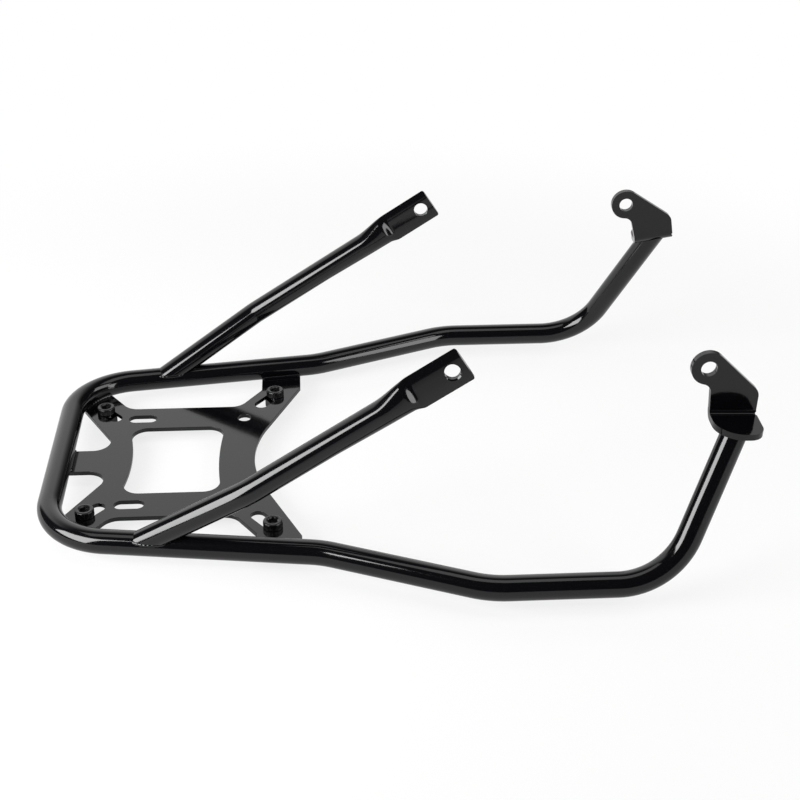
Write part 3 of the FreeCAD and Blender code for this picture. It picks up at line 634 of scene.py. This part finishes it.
def stay_surface(side):
    """Round tube pressed flat at its upper end, its foot cut level to sit on the hoop.

    The round section is r (cos a, sin a). The pressed one has the width w cos a and, at that width, the
    flat's half thickness times sin(a) to a small power, which closes its edges. Along the tube two smooth
    steps lead from one to the other: a long one, and a short steep one at the edge of the die. The lower
    edge widens along an even ease of its own in place of the long step.
    """
    tubes = bpy.context.scene.rack_tubes
    root, bend, hole, run = stay_points(side)
    radius = tubes.diameter / 2
    half_flat = tubes.flat_width / 2
    tip = hole + run * tubes.hole_edge
    flat_start = tip - run * tubes.flat_length
    fine_start = flat_start - run * tubes.press_long
    lower = bent_path([root, bend, fine_start], [of_side(tubes, side, "bend")], run_step=STAY_STEP)
    path = np.concatenate([lower[:-1], straight(fine_start, tip, PRESSED_STEP)])
    past = ((path - flat_start) @ run)[:, None]
    turn = round_angles(tubes.around)[None]
    gentle = smooth(1 + past / tubes.press_long)
    steep = smooth(1 + past / tubes.press_short)
    eased = np.clip(1 + past / tubes.lower_ease, 0, 1)
    squeezed = gentle + tubes.press_step * (steep - gentle)
    upper = radius + (half_flat - radius) * gentle
    under = radius + (half_flat - radius) * (eased + tubes.press_step * (steep - eased))
    to_tip = np.clip(tubes.flat_length - past, 0, tubes.tip_corner)
    inset = tubes.tip_corner - np.sqrt(np.clip(to_tip * (2 * tubes.tip_corner - to_tip), 0, None))
    height = (np.where(np.cos(turn) > 0, upper, under) - inset) * np.cos(turn)
    closing = np.sign(np.sin(turn)) * np.abs(np.sin(turn)) ** tubes.edge_power
    pressed = closing * flat_half_thickness(height, tubes)
    leaning = pressed + math.tan(of_side(tubes, side, "twist")) * height
    aside = (1 - squeezed) * radius * np.sin(turn) + squeezed * leaning
    rings = carried(path, SIDEWAYS, -height, aside)
    seat, lower_run = stay_seat(side)
    level = onto_plane(rings.reshape(-1, 3), lower_run, seat, UP).reshape(rings.shape)
    return closed_tube(np.where(rings[..., 2:] < seat[2], level, rings))


def hole_drill(side):
    """Drill for the bolt hole: a cylinder across the flat that opens at 45 degrees to break both edges."""
    tubes = bpy.context.scene.rack_tubes
    _, _, hole, _ = stay_points(side)
    radius, reach = tubes.hole_diameter / 2, tubes.diameter / 2
    cone = tubes.flat_thick / 2 - tubes.hole_chamfer
    flared = radius + reach - cone
    turn = round_angles(tubes.around)
    circle = np.stack([np.cos(turn), 0 * turn, np.sin(turn)], axis=1)
    rows = np.array([(flared, -reach), (radius, -cone), (radius, cone), (flared, reach)])
    return closed_tube(hole + rows[:, :1, None] * circle + rows[:, 1:, None] * SIDEWAYS)


def drill_piece(piece, drill, sharp_degrees):
    """Cuts a drill's surface out of a piece and keeps the cut mesh."""
    points, quads = drill
    tool_mesh = bpy.data.meshes.new("drill")
    tool_mesh.from_pydata(points.tolist(), [], quads.tolist())
    merge_doubles(tool_mesh)
    tool = bpy.data.objects.new("drill", tool_mesh)
    bpy.context.scene.collection.objects.link(tool)
    hole = piece.modifiers.new("bolt_hole", "BOOLEAN")
    hole.operation, hole.solver, hole.object = "DIFFERENCE", "EXACT", tool
    drilled = piece.evaluated_get(bpy.context.evaluated_depsgraph_get())
    blank = piece.data
    piece.data = bpy.data.meshes.new_from_object(drilled)
    piece.modifiers.remove(hole)
    bpy.data.objects.remove(tool)
    bpy.data.meshes.remove(tool_mesh)
    bpy.data.meshes.remove(blank)
    shade(piece.data, sharp_degrees)


class RACK_OT_stays(bpy.types.Operator):
    """Build the two stays: a bent tube pressed flat at its upper end, with a bolt hole"""

    bl_idname = "rack.build_stays"
    bl_label = "Stays"

    def execute(self, context):
        for side in SIDES:
            piece = make_piece("stay_" + side, [stay_surface(side)], coat_material())
            drill_piece(piece, hole_drill(side), CUT_ANGLE)
            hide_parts(side + "_stay")
        return {"FINISHED"}


# Sheets

def soften_sheet(name, width):
    """Rounded cut edges on a CAD sheet piece, its flat faces kept flat by weighted normals."""
    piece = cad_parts[name]
    weld = piece.modifiers.new("join_facets", "WELD")
    weld.merge_threshold = 0.001 * MM
    flat = piece.modifiers.new("flat_faces", "DECIMATE")
    flat.decimate_type = "DISSOLVE"
    flat.angle_limit = math.radians(1.0)
    bevel = piece.modifiers.new("cut_edges", "BEVEL")
    bevel.width = width
    bevel.segments = 3
    bevel.limit_method = "ANGLE"
    bevel.angle_limit = math.radians(CUT_ANGLE)
    bevel.harden_normals = False
    normals = piece.modifiers.new("flat_shading", "WEIGHTED_NORMAL")
    normals.keep_sharp = False
    normals.weight = 100
    piece.data.materials.clear()
    piece.data.materials.append(coat_material())
    piece.data.polygons.foreach_set("use_smooth", np.ones(len(piece.data.polygons), dtype=bool))


class RACK_OT_sheets(bpy.types.Operator):
    """Finish the carrier plate and the two lugs: rounded cut edges and the coat"""

    bl_idname = "rack.finish_sheets"
    bl_label = "Plate and lugs"

    def execute(self, context):
        for name in SHEETS:
            soften_sheet(name, context.scene.rack_lugs.edge_round)
        return {"FINISHED"}


# Fasteners

def hexagon_radius(turn, across_flats):
    """Distance from the middle to a hexagon's side in each direction: w / 2 / cos(angle from its flat)."""
    sixth = math.pi / 3
    return across_flats / 2 / np.cos((turn + sixth / 2) % sixth - sixth / 2)


def lathe(middle, turn, radii, heights):
    """Rows of radii turned about the upright axis through middle, at the height of each row or point."""
    return np.stack([middle[0] + radii * np.cos(turn), middle[1] + radii * np.sin(turn),
                     np.broadcast_to(heights, radii.shape)], axis=-1)


def socket_screw(node_name):
    """Socket screw as rows of radii: socket floor, hexagon wall, rim, knurled head, thread and tip.

    The head's radius is R + k cos(n a) between its rims, and the thread's r - d |saw(z / pitch - a / 2 pi)|.
    """
    screws = bpy.context.scene.rack_fasteners
    low, high = (np.array(corner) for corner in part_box(node_name))
    tip, top = low[2], high[2]
    turn = round_angles(KNURL_COLUMNS * screws.knurls)
    ones = np.ones_like(turn)
    rim = screws.rim
    head = (high[0] - low[0]) / 2 * screws.head_share
    lead_in = head * screws.lead_in
    grip = head - screws.knurl_inset + screws.knurl_depth * np.cos(screws.knurls * turn)
    shank = screws.thread_diameter / 2
    hexagon = hexagon_radius(turn, screws.socket_width)
    floor = top - screws.socket_depth
    head_rows = [
        # radius and height; the edges are rounded in shares of the rim
        (0 * ones, floor - rim),  # socket's floor, a shallow cone
        (hexagon / 2, floor - rim / 2),
        (hexagon, floor),  # socket's wall
        (hexagon, top - 1.4 * rim),
        (lead_in * ones, top - rim / 5),  # lead-in
        ((lead_in + rim / 3) * ones, top),  # top face
        ((head - 1.6 * rim) * ones, top),
        ((head - 0.6 * rim) * ones, top - 0.5 * rim),  # upper edge
        ((head - 0.1 * rim) * ones, top - 1.4 * rim),
        (grip, top - 1.8 * rim),  # grip
        (grip, PLATE_TOP + 1.2 * rim),
        ((head - 0.1 * rim) * ones, PLATE_TOP + rim),  # lower edge
        ((head - rim) * ones, PLATE_TOP),  # seat on the plate
        (shank * ones, PLATE_TOP),
    ]
    thread_z = np.linspace(PLATE_TOP - rim, tip + screws.tip_length, THREAD_ROWS)
    turns = (thread_z[:, None] / screws.thread_pitch - turn[None] / (2 * math.pi)) % 1.0
    thread = shank - screws.thread_depth * np.abs(2 * turns - 1)
    radii = np.concatenate([np.array([row for row, _ in head_rows]), thread,
                            [(shank - screws.tip_inset) * ones, 0 * ones]])
    heights = np.concatenate([[z for _, z in head_rows], thread_z, [tip, tip]])
    return closed_tube(lathe((low + high) / 2, turn, radii, heights[:, None]))


def hexagon_nut(node_name):
    """Hexagon nut: its sides cut back by a cone at both faces, so that the corners are rounded off."""
    screws = bpy.context.scene.rack_fasteners
    low, high = (np.array(corner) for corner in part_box(node_name))
    foot, top = low[2], high[2]
    turn = round_angles(NUT_COLUMNS)
    ones = np.ones_like(turn)
    across = high[1] - low[1]
    hexagon = hexagon_radius(turn + math.pi / 6, across)
    face = across / 2 * screws.nut_face
    drop = np.clip((hexagon - face) * math.tan(screws.nut_slope), 0, None)
    bore = screws.thread_diameter / 2 - screws.nut_thread
    rows = [
        # radius and height
        (bore * ones, top * ones), (face * ones, top * ones),  # upper face
        (hexagon, top - drop), (hexagon, foot + drop),  # sides
        (face * ones, foot * ones), ((bore + screws.nut_lead_width) * ones, foot * ones),  # lower face
        (bore * ones, (foot + screws.nut_lead_depth) * ones),  # bore's bevel
    ]
    radii, heights = (np.array(column) for column in zip(*rows))
    return closed_ring(lathe((low + high) / 2, turn, radii, heights))


class RACK_OT_fasteners(bpy.types.Operator):
    """Build the four socket screws and their nuts in the plate's corner slots"""

    bl_idname = "rack.build_fasteners"
    bl_label = "Screws and nuts"

    def execute(self, context):
        for corner in CORNERS:
            screw = make_piece("screw_" + corner, [socket_screw("slot_screw_" + corner)],
                               screw_material())
            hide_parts("slot_screw_" + corner)
            nut = make_piece("hex_nut_" + corner, [hexagon_nut("nut_" + corner)], zinc_material())
            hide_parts("nut_" + corner)
        return {"FINISHED"}


# Welds

def weld_bead(path, reference, closed, radius):
    """Bead along a path: a circle whose radius swells by ripple * cos(2 pi s / pitch) along the length s.

    The ends of an open bead are rounded off as a quarter circle.
    """
    welds = bpy.context.scene.rack_welds
    turn = round_angles(BEAD_COLUMNS)
    lengths = run_lengths(path)
    pitch = lengths[-1] / max(1, round(lengths[-1] / welds.ripple_pitch))
    swell = radius * (1 + welds.ripple * np.cos(2 * math.pi * lengths / pitch))
    if not closed:
        from_end = np.minimum(np.minimum(lengths, lengths[-1] - lengths) / radius, 1)
        swell = swell * np.sqrt(np.clip(from_end * (2 - from_end), BLUNT_END, 1))
    rings = carried(path, reference, swell[:, None] * np.cos(turn), swell[:, None] * np.sin(turn))
    return closed_ring(rings[:-1]) if closed else closed_tube(rings)


def stay_weld(side):
    """Closed line just inside and under the edge of the stay's level foot."""
    tubes = bpy.context.scene.rack_tubes
    bead = bpy.context.scene.rack_welds.stay_bead
    seat, run = stay_seat(side)
    turn = np.linspace(0, 2 * math.pi, SEAM_POINTS)[:, None]
    aside = unit(np.cross(SIDEWAYS, run))
    third = np.cross(run, aside)
    root = stay_points(side)[0]
    ring = root + (tubes.diameter / 2 - bead / 2) * (np.cos(turn) * aside + np.sin(turn) * third)
    return onto_plane(ring, run, seat - UP * bead / 2, UP)


def lug_weld(side):
    """Line under the lug's foot, round the half of the riser's end that lies away from the fold."""
    tubes = bpy.context.scene.rack_tubes
    path = hoop_path()
    along, aside, third = path_frames(path, UP)
    row = HOOP_ENDS[side]
    _, _, upward = lug_axes(side)
    away = SIDEWAYS * SIDES[side]
    middle = math.atan2(third[row] @ away, aside[row] @ away)
    turn = (middle + np.linspace(-math.pi / 2, math.pi / 2, HALF_SEAM_POINTS))[:, None]
    ring = path[row] + tubes.diameter / 2 * (np.cos(turn) * aside[row] + np.sin(turn) * third[row])
    return onto_lug(ring, along[row], side) - upward * bpy.context.scene.rack_welds.lug_bead / 2


def plate_welds():
    """Lines where the plate's arms and tab meet the hoop, found from the plate's own points.

    A top point of the plate belongs to a weld if its distance from the hoop's axis is the half width of
    the tube at the plate's top, sqrt(r^2 - h^2); neighbouring ones along the axis make one weld.
    """
    tubes, welds = bpy.context.scene.rack_tubes, bpy.context.scene.rack_welds
    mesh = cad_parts["carrier_plate"].data
    points = np.zeros(len(mesh.vertices) * 3)
    mesh.vertices.foreach_get("co", points)
    points = points.reshape(-1, 3)
    top = points[points[:, 2] > PLATE_TOP - TOUCH]
    path = even_path(hoop_path(), SEAM_STEP)
    away = np.linalg.norm(top[:, None, :2] - path[None, :, :2], axis=2)
    half = math.sqrt((tubes.diameter / 2) ** 2 - tubes.axis_height ** 2)
    met = np.unique(away.argmin(axis=1)[np.abs(away.min(axis=1) - half) < 2 * TOUCH])
    groups = np.split(met, np.nonzero(np.diff(met) > SEAM_GAP / SEAM_STEP)[0] + 1)
    _, aside, _ = path_frames(path, UP)
    inner = path - aside * (half + welds.plate_bead * welds.plate_inset)
    inner[:, 2] = PLATE_TOP + welds.plate_bead * welds.plate_lift
    return [inner[group[0]:group[-1] + 1] for group in groups if len(group) > 1]


class RACK_OT_welds(bpy.types.Operator):
    """Build the rippled weld beads at the stays' roots, under the lugs' feet and along the plate's arms"""

    bl_idname = "rack.build_welds"
    bl_label = "Weld beads"

    def execute(self, context):
        welds = context.scene.rack_welds
        for side in SIDES:
            stay_bead = weld_bead(stay_weld(side), UP, True, welds.stay_bead)
            make_piece("stay_weld_" + side, [stay_bead], coat_material())
            lug_bead = weld_bead(lug_weld(side), UP, False, welds.lug_bead)
            make_piece("lug_weld_" + side, [lug_bead], coat_material())
        lines = plate_welds()
        if not lines:
            raise RuntimeError("the plate touches the hoop nowhere, so it has no weld")
        beads = [weld_bead(line, UP, False, welds.plate_bead) for line in lines]
        make_piece("plate_welds", beads, coat_material())
        return {"FINISHED"}


# Studio: the camera's place and the picture's right and up come from the photograph's perspective

CAMERA_PLACE = (0.0490, -0.88394, 0.55165)
CAMERA_RIGHT = np.array((0.9979, -0.0640, 0.0075))
CAMERA_UP = np.array((0.0254, 0.4977, 0.8670))
FLOOR_REACH = 8.0
FLOOR_GAP = 0.2 * MM
BACKDROP_EDGES = (
    # axis of the direction looked in, its value where the backdrop ends and where it is full
    ("Y", 0.1, 0.35), ("X", 0.6, 0.1), ("X", -0.78, -0.66), ("Z", 0.88, 0.55),
)
SOFTBOXES = {
    # name: place, azimuth it comes from (backdrop 0, right positive), tilt, roll, width, height, radiance
    "left_key": ((-0.835, -0.328, 0.464), -156, 0, -17, 1.065, 0.555, 11.5),
    "right_strip": ((1.30, -0.88, 0.37), 125, 55, 0, 0.40, 1.28, 5.0),
    "right_fill": ((1.36, -0.11, 1.01), 95, 37, 0, 1.0, 0.66, 3.5),
    "overhead": ((0.09, 0.0, 1.55), 0, 88, 0, 1.8, 0.7, 1.3),
}


def turned(right, back):
    """Turn of a camera or lamp whose local X is right and local Z is back."""
    axes = np.stack([right, np.cross(back, right), back], axis=1)
    return Matrix([[*row, 0] for row in axes] + [[0, 0, 0, 1]])


def add_camera(stage):
    """Camera at the photograph's place, its axes squared up from its right and up directions."""
    camera = bpy.data.objects.new("photo_camera", bpy.data.cameras.new("photo_camera"))
    camera.data.sensor_width = 36.0
    camera.data.lens = stage.lens
    camera.data.clip_start = 0.01
    right = unit(CAMERA_RIGHT)
    back = unit(np.cross(right, CAMERA_UP))
    camera.matrix_world = Matrix.Translation(CAMERA_PLACE) @ turned(right, back)
    bpy.context.scene.collection.objects.link(camera)
    bpy.context.scene.camera = camera


def faded(tree, value, start, end, low=0.0, high=1.0):
    """Smooth step of a value: low up to start, high from end on."""
    step = node(tree, "ShaderNodeMapRange", interpolation_type="SMOOTHSTEP", Value=value,
                From_Min=start, From_Max=end, To_Min=low, To_Max=high)
    return step.outputs["Result"]


def floor_material(stage):
    """Pale floor: to the camera white with part of its own shadow, to mirror rays a smooth sweep of white.

    The shadow's share fades with the distance from the rack; the sweep brightens towards the backdrop.
    """
    material = bpy.data.materials.new("pale_floor")
    material.use_nodes = True
    tree = material.node_tree
    tree.nodes.remove(tree.nodes["Principled BSDF"])
    seen = node(tree, "ShaderNodeLightPath").outputs
    place = node(tree, "ShaderNodeTexCoord").outputs["Object"]
    away = node(tree, "ShaderNodeVectorMath", operation="DISTANCE")
    feed(tree, away.inputs[0], place)
    feed(tree, away.inputs[1], np.mean(CAD_BOX, axis=0))
    reach = stage.shadow_reach
    plain = faded(tree, away.outputs["Value"], reach / 2, reach, low=1 - stage.shadow)
    to_backdrop = node(tree, "ShaderNodeSeparateXYZ", Vector=place).outputs["Y"]
    sweep = faded(tree, to_backdrop, 0.0, reach / 2, stage.floor_mirror, stage.back_light)
    surface = node(tree, "ShaderNodeBsdfDiffuse", Color=(*stage.floor_colour, 1)).outputs["BSDF"]
    for ray, strength, most in (("Is Camera Ray", 1.0, plain), ("Is Glossy Ray", sweep, stage.mirror_share)):
        glow = node(tree, "ShaderNodeEmission", Strength=strength)
        mixed = node(tree, "ShaderNodeMixShader", Fac=combined(tree, "MULTIPLY", seen[ray], most))
        feed(tree, mixed.inputs[1], surface)
        feed(tree, mixed.inputs[2], glow.outputs["Emission"])
        surface = mixed.outputs["Shader"]
    feed(tree, tree.nodes["Material Output"].inputs["Surface"], surface)
    return material


def add_floor(stage):
    """Square floor just under the rack's lowest point."""
    height = CAD_BOX[0][2] - FLOOR_GAP
    corners = np.array([(-1, -1), (1, -1), (1, 1), (-1, 1)]) * FLOOR_REACH
    mesh = bpy.data.meshes.new("studio_floor")
    mesh.from_pydata([(x, y, height) for x, y in corners], [], [(0, 1, 2, 3)])
    mesh.materials.append(floor_material(stage))
    floor = bpy.data.objects.new("studio_floor", mesh)
    bpy.context.scene.collection.objects.link(floor)


def add_world(stage):
    """White backdrop behind the rack in a dim room; the camera itself sees white all round.

    The backdrop's share is a product of smooth steps of the direction's X, Y and Z.
    """
    world = bpy.data.worlds.new("studio_room")
    bpy.context.scene.world = world
    world.use_nodes = True
    tree = world.node_tree
    looked_in = node(tree, "ShaderNodeTexCoord").outputs["Generated"]
    way = node(tree, "ShaderNodeSeparateXYZ", Vector=looked_in).outputs
    share = 1.0
    for axis, start, end in BACKDROP_EDGES:
        share = combined(tree, "MULTIPLY", share, faded(tree, way[axis], start, end))
    level = node(tree, "ShaderNodeMapRange", Value=share, To_Min=stage.front_light, To_Max=stage.back_light)
    seen = node(tree, "ShaderNodeLightPath").outputs["Is Camera Ray"]
    strength = node(tree, "ShaderNodeMix", data_type="FLOAT", Factor=seen, A=level.outputs["Result"], B=1.0)
    background = tree.nodes["Background"].inputs
    feed(tree, background["Color"], (1, 1, 1, 1))
    feed(tree, background["Strength"], strength.outputs["Result"])


def add_softbox(name, place, azimuth, tilt, roll, width, height, radiance):
    """Rectangular softbox facing down its azimuth and tilt; its power is radiance * pi * area."""
    azimuth, tilt = math.radians(azimuth), math.radians(tilt)
    level = np.array((math.sin(azimuth), math.cos(azimuth), 0.0))
    back = level * math.cos(tilt) + UP * math.sin(tilt)
    lamp = bpy.data.lights.new(name, "AREA")
    lamp.shape = "RECTANGLE"
    lamp.size, lamp.size_y = width, height
    lamp.energy = radiance * math.pi * width * height
    box = bpy.data.objects.new(name, lamp)
    box.visible_camera = False
    facing = turned(unit(np.cross(UP, back)), back) @ Matrix.Rotation(math.radians(roll), 4, "Z")
    box.matrix_world = Matrix.Translation(place) @ facing
    bpy.context.scene.collection.objects.link(box)


class RACK_OT_stage(bpy.types.Operator):
    """Set the camera, the pale floor, the studio room and its softboxes"""

    bl_idname = "rack.set_stage"
    bl_label = "Studio"

    def execute(self, context):
        stage = context.scene.rack_stage
        context.scene.view_settings.view_transform = "Standard"
        add_camera(stage)
        add_floor(stage)
        add_world(stage)
        for name, values in SOFTBOXES.items():
            add_softbox(name, *values)
        return {"FINISHED"}


# Add-on

OPERATORS = (RACK_OT_hoop, RACK_OT_stays, RACK_OT_sheets, RACK_OT_fasteners, RACK_OT_welds, RACK_OT_stage)
SETTINGS = {"rack_tubes": RackTubes, "rack_lugs": RackLugs, "rack_fasteners": RackFasteners,
            "rack_welds": RackWelds, "rack_finish": RackFinish, "rack_stage": RackStage}


class RACK_PT_panel(bpy.types.Panel):
    """Sizes and finishes of the rack, and the steps that build it, in order"""

    bl_idname = "RACK_PT_panel"
    bl_label = "Luggage rack"
    bl_space_type = "VIEW_3D"
    bl_region_type = "UI"
    bl_category = "Luggage rack"

    def draw(self, context):
        for name, settings in SETTINGS.items():
            header, body = self.layout.panel(name, default_closed=True)
            header.label(text=name.replace("rack_", "").title())
            if body:
                for setting in settings.__annotations__:
                    body.prop(getattr(context.scene, name), setting)
        for step in OPERATORS:
            self.layout.operator(step.bl_idname)


def register():
    """Settings on the scene first, then the steps and the panel."""
    for settings in SETTINGS.values():
        bpy.utils.register_class(settings)
    for name, settings in SETTINGS.items():
        setattr(bpy.types.Scene, name, PointerProperty(type=settings))
    for step in (*OPERATORS, RACK_PT_panel):
        bpy.utils.register_class(step)


def unregister():
    """The same in reverse."""
    for step in (RACK_PT_panel, *reversed(OPERATORS)):
        bpy.utils.unregister_class(step)
    for name in SETTINGS:
        delattr(bpy.types.Scene, name)
    for settings in reversed(SETTINGS.values()):
        bpy.utils.unregister_class(settings)


def main():
    """Builds the rack and its studio."""
    register()
    bpy.ops.rack.build_hoop()
    bpy.ops.rack.build_stays()
    bpy.ops.rack.finish_sheets()
    bpy.ops.rack.build_fasteners()
    bpy.ops.rack.build_welds()
    bpy.ops.rack.set_stage()


if __name__ == "__main__":
    main()
